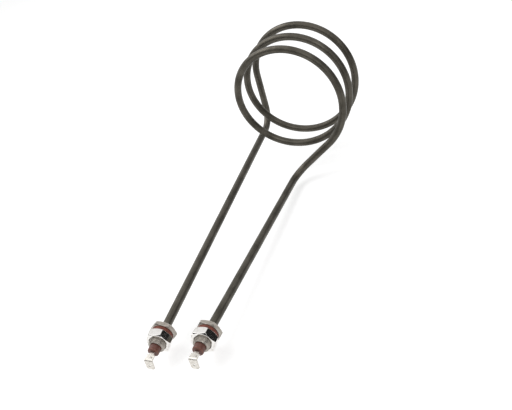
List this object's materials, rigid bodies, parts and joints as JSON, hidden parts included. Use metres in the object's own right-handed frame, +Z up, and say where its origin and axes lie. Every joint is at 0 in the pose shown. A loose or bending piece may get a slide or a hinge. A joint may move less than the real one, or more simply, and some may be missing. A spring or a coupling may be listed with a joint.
{
  "type": "beverage dispenser heating element",
  "caption": "Tubular immersion heating element: an open coil of metal tube on two straight legs, each ending in a hex flange, threaded stub, gasket, nut and push-on tab.",
  "frame": {"origin": "midway between the two fittings, in the plane of the hex flanges' gasket faces, which is the tank wall's inner face", "axes": "+Y into the tank along the coil's axis, +X from the left fitting to the right one, +Z up, on the side of the fittings where the coil's middle is"},
  "size_m": [0.1151, 0.3131, 0.1223],
  "materials": {
    "sheath_metal": "dark warm grey, oxidised by the annealing furnace, satin",
    "oxide_powder": "off-white pressed powder, dull",
    "resistance_wire": "dull grey wire",
    "pin_steel": "drawn, satin",
    "seal": "red-brown, dull",
    "fitting_metal": "warm grey, turned, dull",
    "gasket": "red-brown, dull",
    "plated_nut": "bright plated",
    "insulator": "red-brown, slightly glossy",
    "tab_metal": "light silver, stamped sheet"
  },
  "bodies": {
    "root": {"sheath": "sheath_metal", "insulation_core": "oxide_powder", "resistance_coil": "resistance_wire", "terminal_pin_left": "pin_steel", "terminal_pin_right": "pin_steel", "end_seal_left": "seal", "end_seal_right": "seal", "bushing_left": "fitting_metal", "bushing_right": "fitting_metal", "gasket_left": "gasket", "gasket_right": "gasket", "nut_left": "plated_nut", "nut_right": "plated_nut", "insulator_left": "insulator", "insulator_right": "insulator", "tab_left": "tab_metal", "tab_right": "tab_metal"}
  },
  "joints": []
}
